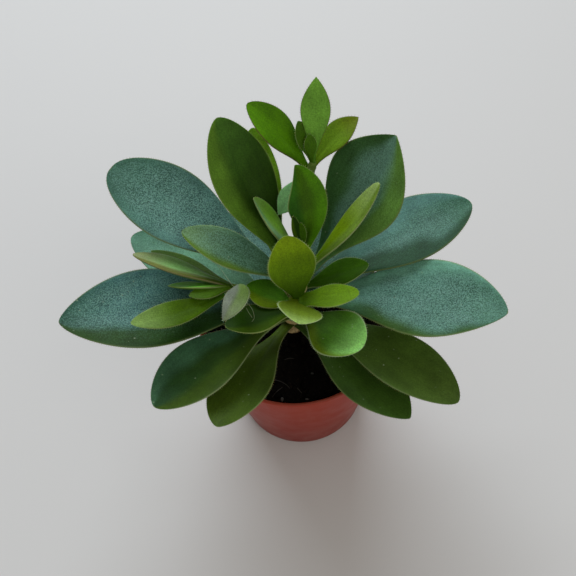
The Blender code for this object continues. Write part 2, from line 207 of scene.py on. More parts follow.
# Shape of a blade, the same as the solid's
MIDRIB_STATIONS = 40
OUTLINE_POWER = 1.3
FOOT_POWER = 3
CUP_DEPTH = 0.2
CUP_LEVEL = 0.35
CUP_START = 1 / 3
THICKNESS_SHIFT = 0.8
THICKNESS_POWER = 0.45
THICKNESS_LOSS = 0.35
ROOT_THICKNESS = 0.8
ROOT_POWER = 6

# Finer form of a blade: fuller section, soft groove over the midrib, slight waves. A pair of
# shares says where something starts and where it is whole.
LARGE_RINGS = 52
LARGE_SIDES = 44
SMALL_RINGS = 34
SMALL_SIDES = 32
SECTION_POWER = 0.85
GROOVE_DEPTH = 0.2
GROOVE_WIDTH = 0.11
GROOVE_FULL = 1.0
GROOVE_ALONG = (1.0, 0.55)
GROOVE_LIFT = (0.0, 0.5)
WAVE_DEPTH = 0.22
WAVE_LENGTH = 9.0
WAVE_ALONG = (0.0, 0.4)
WAVE_POWER = 0.3

# Where a blade takes which tint, with its painted shade and light, how its bloom and painted sheen
# wear away, and its pale rim
DRIFT = 0.2
DRIFT_LENGTH = 7.0
TIP_ZONE = (0.55, 1.0)
SIDE_ZONE_WIDTH = 0.45
FOOT_ZONE_END = 0.05
UPPER_SIDE = (-0.1, 0.25)
UNDER_SIDE = (0.05, -0.35)
BLOOM_AND_SHEEN_ALONG = (0.12, 0.5)
ZONE_BLOOM_LOSS = 0.82
WORN_EDGE = 0.75
WORN_EDGE_ZONE = (0.6, 1.0)
WORN_TIP = 0.6
WORN_TIP_ZONE = (0.8, 1.0)
RIM_POWER = 34
RIM_TIP = (0.994, 1.0)
RIM_ALONG = (0.04, 0.2)

# Leaf skin: the bloom, partly painted sheen, with its painted glints, and the pale specks
BLOOM_AND_SHEEN_COLOUR = (0.19, 0.37, 0.31)
GLINT_COLOUR = (0.34, 0.52, 0.46)
SPECK_COLOUR = (0.36, 0.44, 0.29)
SWELL_HEIGHT = 2.0

# Hairs along the margins
HAIR_SPACING = 0.62
HAIR_LENGTHS = (0.28, 0.5)
HAIR_RADIUS = 0.05
HAIR_LEAN = 0.35
HAIR_START = 0.14
HAIR_END = 0.995
HAIR_SIDES = 3
HAIR_BRIGHTNESS = 1.35

SEED = 7


@dataclass(frozen=True)
class Look:
    """Colours of a blade: its middle, and what that turns into towards each part, with painted
    shade and painted light among them.
    """

    body: tuple
    margin: tuple
    foot: tuple = None
    tip: tuple = None
    left: tuple = None
    right: tuple = None
    under: tuple = (0.1, 0.18, 0.05)
    bloom_and_sheen: float = 0.0
    specks: float = 0.0
    foot_reach: float = 0.5
    side_start: float = 0.15
    side_slant: float = 0.0


# Large leaves: blue-green with a bloom, or dark; shoots: green, yellow-green and pale. Most dark
# feet are painted shade near the stem, where leaves cover one another.
BRONZE_MARGIN = (0.13, 0.085, 0.03)
# Painted sheen: the teal body and the bloom stand partly for the window's sheen on the waxy skin
BLUE = Look(
    (0.075, 0.18, 0.15), foot=(0.03, 0.088, 0.048), tip=(0.052, 0.14, 0.095),
    under=(0.1, 0.19, 0.08), margin=(0.14, 0.19, 0.07), bloom_and_sheen=0.8,
)
# Painted light: the upper side and the foot are lightened where the leaf above throws its shadow
BLUE_RIGHT = replace(
    BLUE, body=(0.088, 0.22, 0.165), foot=(0.11, 0.29, 0.18), tip=(0.06, 0.165, 0.105),
    left=(0.155, 0.38, 0.27), right=(0.034, 0.095, 0.006), margin=(0.18, 0.24, 0.08),
    side_start=-0.05, side_slant=0.85, specks=0.4,
)
# Painted sheen: the pale blue upper side near the root
BLUE_UPPER_RIGHT = replace(
    BLUE, body=(0.082, 0.195, 0.15), foot=(0.014, 0.048, 0.018), tip=(0.042, 0.125, 0.075),
    left=(0.105, 0.25, 0.215), right=(0.016, 0.062, 0.024), bloom_and_sheen=0.45, foot_reach=0.65,
    side_start=-0.7, side_slant=1.3,
)
# Painted shade: the dark foot and front side, where the leaves above block the light
BLUE_LEFT = replace(
    BLUE, body=(0.082, 0.225, 0.22), foot=(0.014, 0.05, 0.01), tip=(0.026, 0.085, 0.055),
    left=(0.016, 0.055, 0.001), foot_reach=0.8, side_start=-0.25, side_slant=0.55, specks=1.0,
)
# Painted shade: the dark foot under the leaf above
BLUE_PALE = replace(
    BLUE, body=(0.19, 0.44, 0.27), foot=(0.012, 0.04, 0.003), tip=(0.09, 0.235, 0.15), bloom_and_sheen=0.4,
    foot_reach=0.85,
)
BLUE_SHADED = replace(
    BLUE, body=(0.04, 0.1, 0.068), foot=(0.022, 0.06, 0.03), tip=(0.04, 0.105, 0.07), bloom_and_sheen=0.4
)
GREY_GREEN = Look(
    (0.075, 0.175, 0.095), left=(0.1, 0.19, 0.02), tip=(0.14, 0.26, 0.115), foot=(0.05, 0.14, 0.04),
    margin=(0.3, 0.4, 0.16), bloom_and_sheen=0.45, specks=0.8, side_start=0.6, side_slant=-0.15,
)
# Painted light: the pale foot lifts the shadow that a leaf of the front shoot throws
DARK = Look(
    (0.064, 0.122, 0.016), foot=(0.19, 0.36, 0.15), tip=(0.066, 0.12, 0.018),
    margin=(0.17, 0.23, 0.085), specks=0.9,
)
DARK_TEAL = replace(
    DARK, body=(0.028, 0.074, 0.01), left=(0.042, 0.086, 0.004), right=(0.056, 0.152, 0.076),
    foot=None, tip=(0.02, 0.068, 0.018), margin=(0.24, 0.3, 0.14),
)
DARK_OLIVE = replace(
    DARK, body=(0.046, 0.088, 0.005), foot=(0.05, 0.086, 0.004), tip=(0.06, 0.108, 0.01),
    margin=(0.22, 0.27, 0.1),
)
DARK_FRONT = replace(DARK, body=(0.044, 0.102, 0.012), foot=None, tip=None, specks=0.5)
OLIVE = Look((0.022, 0.06, 0.004), margin=(0.15, 0.21, 0.06))
OLIVE_BACK_LEFT = replace(
    OLIVE, left=(0.098, 0.212, 0.019), tip=(0.058, 0.155, 0.016), margin=(0.2, 0.3, 0.05)
)
# Painted sheen: the teal middle
OLIVE_BACK_RIGHT = replace(
    OLIVE, body=(0.1, 0.218, 0.148), left=(0.036, 0.105, 0.026), right=(0.105, 0.232, 0.038),
    foot=(0.07, 0.19, 0.08), bloom_and_sheen=0.3, specks=0.5,
)
SHADE = Look((0.016, 0.052, 0.0), left=(0.05, 0.11, 0.001), margin=(0.34, 0.42, 0.14))
GREEN = Look((0.055, 0.145, 0.004), margin=(0.28, 0.36, 0.13))
YELLOW_GREEN = Look((0.128, 0.245, 0.002), margin=(0.36, 0.46, 0.16))
NARROW_BACK = replace(GREEN, body=(0.24, 0.47, 0.028), foot=(0.1, 0.25, 0.006))
SMALL_DARK = replace(GREEN, body=(0.034, 0.105, 0.001))
LANCE = replace(
    YELLOW_GREEN, body=(0.205, 0.36, 0.006), right=(0.17, 0.29, 0.035), tip=(0.34, 0.51, 0.15),
    foot=(0.12, 0.27, 0.004), margin=(0.34, 0.42, 0.18),
)
TUFT_BACK = replace(GREEN, left=(0.036, 0.138, 0.01), right=(0.074, 0.225, 0.003))
TUFT_LEFT = replace(GREEN, body=(0.15, 0.36, 0.013), left=(0.14, 0.3, 0.12), tip=(0.16, 0.33, 0.05))
ROUND_BACK = replace(YELLOW_GREEN, foot=(0.03, 0.08, 0.0), tip=(0.2, 0.32, 0.004), foot_reach=0.8)
ROUND_RIGHT = replace(YELLOW_GREEN, body=(0.14, 0.285, 0.002), foot=(0.055, 0.13, 0.001))
ROUND_FRONT = replace(
    YELLOW_GREEN, body=(0.16, 0.25, 0.022), tip=(0.3, 0.45, 0.12), foot=(0.1, 0.165, 0.003),
    margin=(0.5, 0.62, 0.3), foot_reach=0.7,
)
ROUND_LIT = replace(
    YELLOW_GREEN, body=(0.06, 0.185, 0.006), foot=(0.011, 0.028, 0.0), tip=(0.34, 0.78, 0.19),
    right=(0.15, 0.25, 0.002), margin=(0.42, 0.54, 0.3), specks=0.6, foot_reach=0.8, side_start=0.0,
    side_slant=0.7,
)
ROUND_SHADED = replace(
    GREEN, body=(0.07, 0.215, 0.006), left=(0.13, 0.23, 0.002), right=(0.042, 0.15, 0.002)
)
SHOOT_UNDER = (0.085, 0.19, 0.02)
NARROW_LOW = replace(GREEN, body=(0.115, 0.25, 0.036), foot=(0.05, 0.1, 0.004), under=SHOOT_UNDER)
NARROW_PALE = replace(
    GREEN, body=(0.2, 0.44, 0.12), foot=(0.026, 0.065, 0.0), tip=(0.28, 0.34, 0.15),
    left=(0.14, 0.16, 0.02), margin=(0.22, 0.2, 0.09), foot_reach=0.85,
)
NARROW_SHADED = replace(
    GREEN, body=(0.125, 0.39, 0.037), foot=(0.07, 0.13, 0.003), under=SHOOT_UNDER
)
NARROW_DIM = replace(GREEN, body=(0.06, 0.14, 0.004), under=SHOOT_UNDER)
NARROW_FRONT = replace(
    GREEN, body=(0.058, 0.128, 0.001), foot=(0.038, 0.12, 0.001), tip=(0.2, 0.33, 0.085)
)
SILVERED = replace(
    GREEN, body=(0.135, 0.222, 0.048), right=(0.17, 0.2, 0.15), tip=(0.165, 0.21, 0.11),
    margin=(0.46, 0.54, 0.36), specks=0.8, side_start=-0.1,
)
UPRIGHT_LEFT = replace(
    GREEN, body=(0.07, 0.2, 0.001), right=(0.06, 0.17, 0.001), margin=BRONZE_MARGIN
)
UPRIGHT_BACK = replace(
    GREEN, body=(0.168, 0.395, 0.045), foot=(0.085, 0.22, 0.018), margin=BRONZE_MARGIN
)
UPRIGHT_RIGHT = replace(
    GREEN, body=(0.132, 0.26, 0.01), tip=(0.122, 0.165, 0.003), margin=BRONZE_MARGIN
)
PALE = Look((0.235, 0.52, 0.21), margin=(0.42, 0.48, 0.26))


@dataclass(frozen=True)
class Leaf:
    """One leaf blade, in millimetres and degrees, as in the solid's source.

    A leaf of the main stem stands at a height, a leaf of a shoot at a share of the shoot's stem.
    """

    name: str
    at: float
    azimuth: float
    pitch: float
    bend: float
    roll: float
    length: float
    width: float
    thickness: float
    look: Look
    swing: float = 0.0
    widest: float = 0.64
    tip: float = 0.62
    foot: float = 0.22


# Large leaves of the main stem, from the lowest pair up
LARGE_LEAVES = [
    Leaf(
        "leaf_front_left", 51, -123, 24, -10, 8, 43, 15, 2.2, DARK_OLIVE,
        swing=5, widest=0.7, foot=0.26,
    ),
    Leaf(
        "leaf_front_right", 51, -53, 16, -18, -5, 44, 15.6, 2.2, DARK_FRONT, widest=0.66, tip=0.75
    ),
    Leaf("leaf_back_left_low", 52, 118, 14, -10, 0, 40, 16, 2.2, BLUE),
    Leaf("leaf_left_low", 55, 147, 12, -10, 0, 52.3, 18, 2.2, BLUE_PALE),
    Leaf(
        "leaf_right_front", 56, -33.4, 15, -16, -5, 50.5, 16, 2.2, DARK,
        swing=-16.5, widest=0.68, foot=0.3,
    ),
    Leaf(
        "leaf_back_right_low", 60, 43.5, 13, -10, 0, 39, 23, 2.2, BLUE_SHADED, widest=0.5, foot=0.3
    ),
    Leaf(
        "leaf_left_front", 59, -145, 20, -20, 5, 46, 17, 2.2, DARK_TEAL,
        swing=5, widest=0.7, foot=0.32,
    ),
    Leaf("leaf_left", 63, -173, 23, -18, 0, 60, 23, 2.2, BLUE_LEFT, tip=0.7, foot=0.14),
    Leaf(
        "leaf_right", 64, -10, 17.4, -3, 4, 53.8, 21.8, 2.2, BLUE_RIGHT,
        swing=-22, widest=0.65, tip=0.7, foot=0.2,
    ),
    Leaf("leaf_back_narrow", 64, 119, 54, 0, 0, 46.5, 10, 1.8, NARROW_BACK, swing=-32, widest=0.72),
    Leaf("leaf_right_upper", 68.6, 18.5, 14.8, -9, 0, 50, 19.2, 2.2, BLUE_UPPER_RIGHT, widest=0.65),
    Leaf("leaf_right_small", 69.5, -5.5, 35, -10, 0, 20, 7.8, 1.8, SMALL_DARK),
    Leaf(
        "leaf_left_upper", 69, 150.7, 31, -10, 0, 56, 20.9, 2.2, BLUE,
        swing=-3, widest=0.7, tip=0.5, foot=0.13,
    ),
    Leaf(
        "leaf_back_right", 70.8, 23.2, 49.5, 10, 4, 46.4, 22.6, 2.2, OLIVE_BACK_RIGHT,
        swing=6.5, widest=0.7, tip=0.85, foot=0.12,
    ),
    Leaf("leaf_left_young", 71.2, 164.5, 39, -14, -6, 33, 10, 2.2, GREY_GREEN, foot=0.25),
    Leaf(
        "leaf_back_left", 73.2, 134, 51, 10, 0, 45.5, 15.5, 2.2, OLIVE_BACK_LEFT,
        swing=-16, widest=0.67, foot=0.12,
    ),
]

# Tuft at the top of the main stem, on its green tip
TOP_LEAVES = [
    Leaf("low_right", 0.18, 2.5, 51, 4, -4, 33, 5.8, 2.0, LANCE, swing=22, tip=0.5),
    Leaf("back", 0.64, 29, 68, 0, 0, 27, 9.5, 1.8, TUFT_BACK, swing=116, tip=0.75),
    Leaf("left", 0.59, 148, 59, 0, 30, 22, 8.5, 1.8, TUFT_LEFT),
    Leaf("bud_left", 0.9, 121, 78, 0, 0, 12, 2.3, 1.4, SHADE),
    Leaf("bud_back", 0.9, 74, 78, 0, 0, 9.5, 2.6, 1.4, GREEN),
]

# Front shoot: short, with round yellow-green leaves
FRONT_LEAVES = [
    Leaf("low_right", 0.45, -48, 13, 0, 0, 20.6, 14.3, 1.6, ROUND_LIT, tip=0.5),
    Leaf("low_left", 0.6, -164, 14, 0, 10, 19.6, 9.6, 1.6, SHADE),
    Leaf("mid_left", 0.62, 154, 15, 0, 0, 14.6, 8, 1.6, ROUND_SHADED),
    Leaf(
        "mid_right", 1.0, -7, 13, 0, 0, 14.4, 6.3, 1.6, ROUND_RIGHT, widest=0.55, tip=0.5, foot=0.75
    ),
    Leaf("top_back", 0.95, 103, 64, 0, 0, 18, 11.5, 1.6, ROUND_BACK, widest=0.58, tip=0.55),
    Leaf("top_front", 0.97, -95, 30, 0, -20, 10.5, 10.8, 1.6, ROUND_FRONT, widest=0.52, foot=0.5),
]

# Left shoot: narrow leaves, and one in front that bends down
LEFT_LEAVES = [
    Leaf("back_low", 0.9, 152, 11, 0, 35, 24, 8, 1.6, NARROW_LOW),
    Leaf("back", 0.95, 165, 22, 0, 35, 26, 9, 1.8, NARROW_PALE),
    Leaf("middle", 0.98, -179, 14, 0, 40, 16, 5.5, 1.6, NARROW_SHADED),
    Leaf("front_narrow", 0.96, -161, 19, 0, 0, 12, 4, 1.4, NARROW_DIM),
    Leaf("front", 0.92, -150, 6, 20, -15, 28, 6.4, 1.8, NARROW_FRONT, swing=-10),
    Leaf("near", 0.9, -62, 72, -86, 0, 18.5, 5.6, 1.8, SILVERED, swing=-73, tip=0.8),
]

# Back shoot: the longest side stem, with a leaf that hangs, three upright ones and two buds
BACK_LEAVES = [
    Leaf("low_front", 0.95, -142, -33, 0, 0, 13.6, 6, 1.6, PALE, tip=1.1),
    Leaf("left", 0.905, 148, 62, -30, 0, 22.3, 9.4, 1.7, UPRIGHT_LEFT),
    Leaf("right", 0.92, 35, 49, -30, 10, 16.8, 6.6, 1.7, UPRIGHT_RIGHT, swing=-13, tip=0.85),
    Leaf("back", 0.98, 67, 66, 0, 0, 20.5, 6.8, 1.7, UPRIGHT_BACK, swing=14, tip=0.9),
    Leaf("bud_left", 0.98, 118, 62, 0, 0, 11, 4, 1.4, GREEN),
    Leaf("bud_right", 0.98, 95, 74, 0, 0, 8, 3, 1.4, GREEN),
]

# Each shoot's node, stem, leaves and slot
SHOOTS = [
    ("top_shoot", TOP_STEM_POINTS, TOP_STEM_RADII, TOP_LEAVES, "leaf_mid_green"),
    ("front_shoot", FRONT_STEM_POINTS, FRONT_STEM_RADII, FRONT_LEAVES, "leaf_young_green"),
    ("left_shoot", LEFT_STEM_POINTS, LEFT_STEM_RADII, LEFT_LEAVES, "leaf_mid_green"),
    ("back_shoot", BACK_STEM_POINTS, BACK_STEM_RADII, BACK_LEAVES, "leaf_mid_green"),
]


# Camera, light and floor


def placed(name, data):
    item = bpy.data.objects.new(name, data)
    bpy.context.scene.collection.objects.link(item)
    return item


def make_camera():
    elevation = math.radians(CAMERA_ELEVATION)
    roll = math.radians(CAMERA_ROLL)
    level_right = Vector((1, 0, 0))
    level_up = Vector((0, math.sin(elevation), math.cos(elevation)))
    back = Vector((0, -math.cos(elevation), math.sin(elevation)))
    right = math.cos(roll) * level_right + math.sin(roll) * level_up
    up = math.cos(roll) * level_up - math.sin(roll) * level_right
    turned_to = Matrix((right, up, back)).transposed().to_4x4()
    turned_to.translation = (Vector(CAMERA_TARGET) + back * CAMERA_DISTANCE) * MM
    data = bpy.data.cameras.new("camera")
    data.lens = CAMERA_LENS
    data.sensor_width = CAMERA_SENSOR
    data.clip_start, data.clip_end = CAMERA_CLIP
    camera = placed("camera", data)
    camera.matrix_world = turned_to
    bpy.context.scene.camera = camera


def area_light(name, place, size, colour, power):
    data = bpy.data.lights.new(name, "AREA")
    data.shape = "RECTANGLE"
    data.size, data.size_y = size
    data.color = colour
    data.energy = power
    light = placed(name, data)
    light.location = place
    aim = Vector(CAMERA_TARGET) * MM - Vector(place)
    light.rotation_euler = aim.to_track_quat("-Z", "Y").to_euler()


def make_light():
    world = bpy.data.worlds.new("room")
    bpy.context.scene.world = world
    world.use_nodes = True
    background = world.node_tree.nodes["Background"]
    background.inputs["Color"].default_value = (*ROOM_COLOUR, 1.0)
    background.inputs["Strength"].default_value = ROOM_STRENGTH
    area_light("window", WINDOW_PLACE, WINDOW_SIZE, WINDOW_COLOUR, WINDOW_POWER)
    area_light("fill", FILL_PLACE, FILL_SIZE, FILL_COLOUR, FILL_POWER)
    bpy.context.scene.view_settings.view_transform = "Standard"


def make_floor():
    half = FLOOR_SIDE / 2
    mesh = bpy.data.meshes.new("floor")
    corners = [(-half, -half, 0), (half, -half, 0), (half, half, 0), (-half, half, 0)]
    mesh.from_pydata(corners, [], [(0, 1, 2, 3)])
    floor = placed("floor", mesh)
    material = bpy.data.materials.new("floor")
    material.use_nodes = True
    shader = material.node_tree.nodes["Principled BSDF"]
    shader.inputs["Base Color"].default_value = (*FLOOR_COLOUR, 1.0)
    shader.inputs["Roughness"].default_value = FLOOR_ROUGHNESS
    mesh.materials.append(material)


# Materials


class Painter:
    """Builds a material's nodes, one call for each."""

    def __init__(self, name):
        self.material = bpy.data.materials.new(name)
        self.material.use_nodes = True
        self.tree = self.material.node_tree
        self.shader = self.tree.nodes["Principled BSDF"]
        self.place = self.node("ShaderNodeTexCoord").outputs["Object"]

    def node(self, kind, **settings):
        made = self.tree.nodes.new(kind)
        for name, value in settings.items():
            setattr(made, name, value)
        return made

    def join(self, source, target):
        self.tree.links.new(source, target)

    def set(self, **values):
        for name, value in values.items():
            self.shader.inputs[name.replace("_", " ")].default_value = value

    def attribute(self, name, output="Color"):
        return self.node("ShaderNodeAttribute", attribute_name=name).outputs[output]

    def noise(self, size, detail=2.0, stretch=None, place=None):
        """Noise whose features are about size millimetres across."""
        made = self.node("ShaderNodeTexNoise")
        made.inputs["Scale"].default_value = 1 / (size * MM)
        made.inputs["Detail"].default_value = detail
        place = place or self.place
        if stretch:
            mapping = self.node("ShaderNodeMapping")
            mapping.inputs["Scale"].default_value = stretch
            self.join(place, mapping.inputs["Vector"])
            place = mapping.outputs["Vector"]
        self.join(place, made.inputs["Vector"])
        return made.outputs["Fac"]

    def cells(self, spacing):
        """Distance to the nearest of scattered points, which are so many millimetres apart."""
        made = self.node("ShaderNodeTexVoronoi")
        made.inputs["Scale"].default_value = 1 / (spacing * MM)
        self.join(self.place, made.inputs["Vector"])
        return made.outputs["Distance"]

    def ranged(self, value, low, high, to_low=0.0, to_high=1.0):
        """The value, with low turned into to_low and high into to_high."""
        made = self.node("ShaderNodeMapRange")
        limits = {"From Min": low, "From Max": high, "To Min": to_low, "To Max": to_high}
        for socket, limit in limits.items():
            made.inputs[socket].default_value = limit
        self.join(value, made.inputs["Value"])
        return made.outputs["Result"]

    def times(self, one, two):
        made = self.node("ShaderNodeMath", operation="MULTIPLY")
        self.join(one, made.inputs[0])
        if isinstance(two, float):
            made.inputs[1].default_value = two
        else:
            self.join(two, made.inputs[1])
        return made.outputs["Value"]

    def plus(self, one, two):
        made = self.node("ShaderNodeMath", operation="ADD")
        self.join(one, made.inputs[0])
        self.join(two, made.inputs[1])
        return made.outputs["Value"]

    def mixed(self, share, one, two, mode="MIX"):
        """One colour turning into another. Sockets 6 and 7 of the node are its colours."""
        made = self.node("ShaderNodeMix", data_type="RGBA", blend_type=mode)
        sockets = (made.inputs[0], made.inputs[6], made.inputs[7])
        for value, socket in zip((share, one, two), sockets):
            if isinstance(value, float):
                socket.default_value = value
            elif isinstance(value, tuple):
                socket.default_value = (*value, 1.0)
            else:
                self.join(value, socket)
        return made.outputs[2]

    def shaded(self, colour, value, low, high):
        """The colour made darker or lighter between two factors by a value from 0 to 1."""
        grey = self.node("ShaderNodeCombineColor")
        factor = self.ranged(value, *NOISE_SPREAD, low, high)
        for channel in ("Red", "Green", "Blue"):
            self.join(factor, grey.inputs[channel])
        return self.mixed(1.0, colour, grey.outputs["Color"], "MULTIPLY")

    def bump(self, height, depth, strength):
        made = self.node("ShaderNodeBump")
        made.inputs["Strength"].default_value = strength
        made.inputs["Distance"].default_value = depth * MM
        self.join(height, made.inputs["Height"])
        self.join(made.outputs["Normal"], self.shader.inputs["Normal"])

    def colour(self, value):
        self.join(value, self.shader.inputs["Base Color"])


def leaf_material():
    """Leaf skin: the blade's tint with its painted shade and light, faint veins, clouds, a grainy
    bloom that is partly painted sheen, painted glints and pale specks.
    """
    p = Painter("leaf_skin")
    tint = p.attribute("tint")
    marks = p.node("ShaderNodeSeparateColor")
    p.join(p.attribute("marks"), marks.inputs["Color"])
    rim = marks.outputs["Red"]
    bloom_and_sheen = marks.outputs["Green"]
    specks = marks.outputs["Blue"]
    edge = p.attribute("edge")
    along = p.attribute("along", "Vector")
    grain = p.noise(size=0.3, detail=1.0)
    coarse = p.noise(size=0.6, detail=2.0)
    veins = p.noise(size=0.8, detail=2.0, stretch=(0.1, 1.0, 1.0), place=along)
    colour = p.shaded(tint, p.noise(size=6.0, detail=3.0), low=0.8, high=1.2)
    colour = p.shaded(colour, veins, low=0.91, high=1.09)
    colour = p.shaded(colour, grain, low=0.8, high=1.2)
    milky = p.ranged(p.noise(size=5.0, detail=3.0), low=0.35, high=0.65, to_high=0.22)
    grainy = p.ranged(grain, low=0.48, high=0.64, to_high=0.65)
    clumps = p.ranged(coarse, low=0.5, high=0.68, to_high=0.18)
    colour = p.mixed(p.times(p.plus(milky, p.plus(grainy, clumps)), bloom_and_sheen), colour, BLOOM_AND_SHEEN_COLOUR)
    pits = p.times(p.ranged(grain, low=0.48, high=0.34, to_high=0.85), bloom_and_sheen)
    colour = p.mixed(pits, colour, p.shaded(colour, coarse, low=0.35, high=0.65))
    points = p.ranged(p.cells(spacing=0.95), low=0.13, high=0.07)
    glints = p.times(points, p.ranged(coarse, low=0.5, high=0.6, to_high=0.55))
    colour = p.mixed(p.times(glints, bloom_and_sheen), colour, GLINT_COLOUR)
    frayed = p.ranged(p.noise(size=0.25), *NOISE_SPREAD, to_low=-0.05, to_high=0.05)
    spots = p.ranged(p.plus(p.cells(spacing=2.3), frayed), low=0.1, high=0.05)
    seen = p.ranged(p.noise(size=4.0), low=0.42, high=0.62, to_low=0.15, to_high=0.8)
    colour = p.mixed(p.times(spots, p.times(specks, seen)), colour, SPECK_COLOUR)
    colour = p.mixed(p.ranged(rim, low=0.15, high=0.95), colour, edge)
    p.colour(colour)
    swell = p.times(p.noise(size=1.6, detail=1.0), SWELL_HEIGHT)
    p.bump(p.plus(p.plus(grain, veins), swell), depth=0.05, strength=0.5)
    p.set(
        Roughness=0.48,
        Specular_IOR_Level=0.1,
        Subsurface_Weight=0.08,
        Subsurface_Radius=(0.6, 1.0, 0.2),
        Subsurface_Scale=1.0 * MM,
    )
    return p.material


def hair_material():
    p = Painter("hair")
    p.colour(p.shaded(p.attribute("tint"), p.noise(size=1.5), low=0.85, high=1.15))
    p.set(Roughness=0.5, Subsurface_Weight=0.3, Subsurface_Scale=0.3 * MM)
    return p.material


def bark_material():
    """Young bark: its tint lightened with painted light, with fine upright cracks and orange-brown
    patches.
    """
    p = Painter("bark")
    cracks = p.noise(size=0.7, detail=3.0, stretch=(1.0, 1.0, 0.3))
    colour = p.shaded(p.attribute("tint"), cracks, low=0.5, high=1.5)
    patches = p.ranged(p.noise(size=1.6), low=0.52, high=0.64, to_high=0.7)
    p.colour(p.mixed(patches, colour, BARK_PATCH_COLOUR))
    p.bump(cracks, depth=0.25, strength=0.8)
    p.set(Roughness=0.7)
    return p.material


def pot_material():
    """Moulded plastic the colour of brick, with painted shade towards the foot and a painted
    highlight along the lip, a little dusty, with faint rings from the mould.
    """
    p = Painter("pot_plastic")
    place = p.node("ShaderNodeSeparateXYZ")
    p.join(p.place, place.inputs["Vector"])
    height = place.outputs["Z"]
    # Painted shade: the plastic darkens from the lip down to the foot
    colour = p.mixed(p.ranged(height, 0.0, POT_HEIGHT * MM), PLASTIC_LOW, PLASTIC_HIGH)
    # Painted highlight: an orange band along the rolled lip
    lip = p.ranged(height, *((POT_HEIGHT - depth) * MM for depth in LIP_HIGHLIGHT_DEPTHS))
    colour = p.mixed(lip, colour, LIP_HIGHLIGHT_COLOUR)
    dust = p.ranged(p.noise(size=9.0, detail=4.0), low=0.42, high=0.7, to_high=0.12)
    colour = p.mixed(dust, colour, DUST_COLOUR)
    smear = p.noise(size=2.2, detail=3.0, stretch=(1.0, 1.0, 0.25))
    smear = p.ranged(smear, low=0.55, high=0.75, to_high=0.07)
    p.colour(p.mixed(smear, colour, SMEAR_COLOUR))
    rings = p.noise(size=0.9, detail=1.0, stretch=(0.05, 0.05, 1.0))
    p.bump(p.plus(rings, p.noise(size=0.35, detail=1.0)), depth=0.008, strength=0.3)
    rough = p.ranged(p.noise(size=5.0, detail=3.0), *NOISE_SPREAD, to_low=0.36, to_high=0.5)
    p.join(rough, p.shader.inputs["Roughness"])
    p.set(Specular_IOR_Level=0.28, Subsurface_Weight=0.06, Subsurface_Scale=1.0 * MM)
    return p.material


def soil_material():
    """Peat, nearly black with painted shade over its dark tint, with brown flecks."""
    p = Painter("peat")
    fine = p.noise(size=0.5, detail=4.0)
    colour = p.shaded(p.attribute("tint"), fine, low=0.5, high=1.5)
    flecks = p.ranged(p.noise(size=0.9), low=0.62, high=0.74, to_high=0.5)
    p.colour(p.mixed(flecks, colour, FLECK_COLOUR))
    p.bump(fine, depth=0.35, strength=1.0)
    p.set(Roughness=1.0, Specular_IOR_Level=0.05)
    return p.material


def mineral_material():
    """Grey grains and dry fibres, finely speckled."""
    p = Painter("grain")
    speckle = p.noise(size=0.3, detail=3.0)
    p.colour(p.shaded(p.attribute("tint"), speckle, low=0.7, high=1.25))
    p.bump(speckle, depth=0.12, strength=0.8)
    p.set(Roughness=0.85)
    return p.material


# Meshes


def face_outward(mesh):
    shape = bmesh.new()
    shape.from_mesh(mesh)
    bmesh.ops.recalc_face_normals(shape, faces=shape.faces)
    shape.to_mesh(mesh)
    shape.free()


class Pile:
    """Closed shells gathered into one mesh.

    Each point has a tint, marks, an edge colour and a place along the blade.
    """

    def __init__(self):
        self.points = []
        self.faces = []
        self.layers = {"tint": [], "marks": [], "edge": [], "along": []}
        self.finishes = []
        self.count = 0

    def add(
        self, points, faces, tint=NOTHING, marks=NOTHING, edge=NOTHING, along=NOTHING, finish=0
    ):
        points = np.asarray(points, float)
        self.points.append(points)
        self.faces.extend(tuple(index + self.count for index in face) for face in faces)
        self.finishes.extend([finish] * len(faces))
        for name, value in zip(self.layers, (tint, marks, edge, along)):
            self.layers[name].append(np.broadcast_to(np.asarray(value, float), points.shape))
        self.count += len(points)

    def piece(self, name, node, materials):
        """The finished piece, which stands for a node of the solid model."""
        mesh = bpy.data.meshes.new(name)
        mesh.from_pydata((np.vstack(self.points) * MM).tolist(), [], self.faces)
        for layer, values in self.layers.items():
            rows = np.vstack(values)
            colours = np.hstack([rows, np.ones((len(rows), 1))]).astype(np.float32)
            attribute = mesh.attributes.new(layer, "FLOAT_COLOR", "POINT")
            attribute.data.foreach_set("color", colours.ravel())
        for material in materials:
            mesh.materials.append(material)
        mesh.polygons.foreach_set("material_index", self.finishes)
        mesh.polygons.foreach_set("use_smooth", [True] * len(self.faces))
        face_outward(mesh)
        mesh.validate()
        item = placed(name, mesh)
        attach(item, "root")
        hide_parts(node)
        return item


def shell_faces(rings, sides):
    """Faces of a closed shell: rings of points in order, then the two end points."""
    faces = []
    for ring in range(rings - 1):
        for side in range(sides):
            after = (side + 1) % sides
            low = ring * sides
            high = low + sides
            faces.append((low + side, low + after, high + after, high + side))
    start = rings * sides
    last = (rings - 1) * sides
    for side in range(sides):
        after = (side + 1) % sides
        faces.append((start, after, side))
        faces.append((start + 1, last + side, last + after))
    return faces


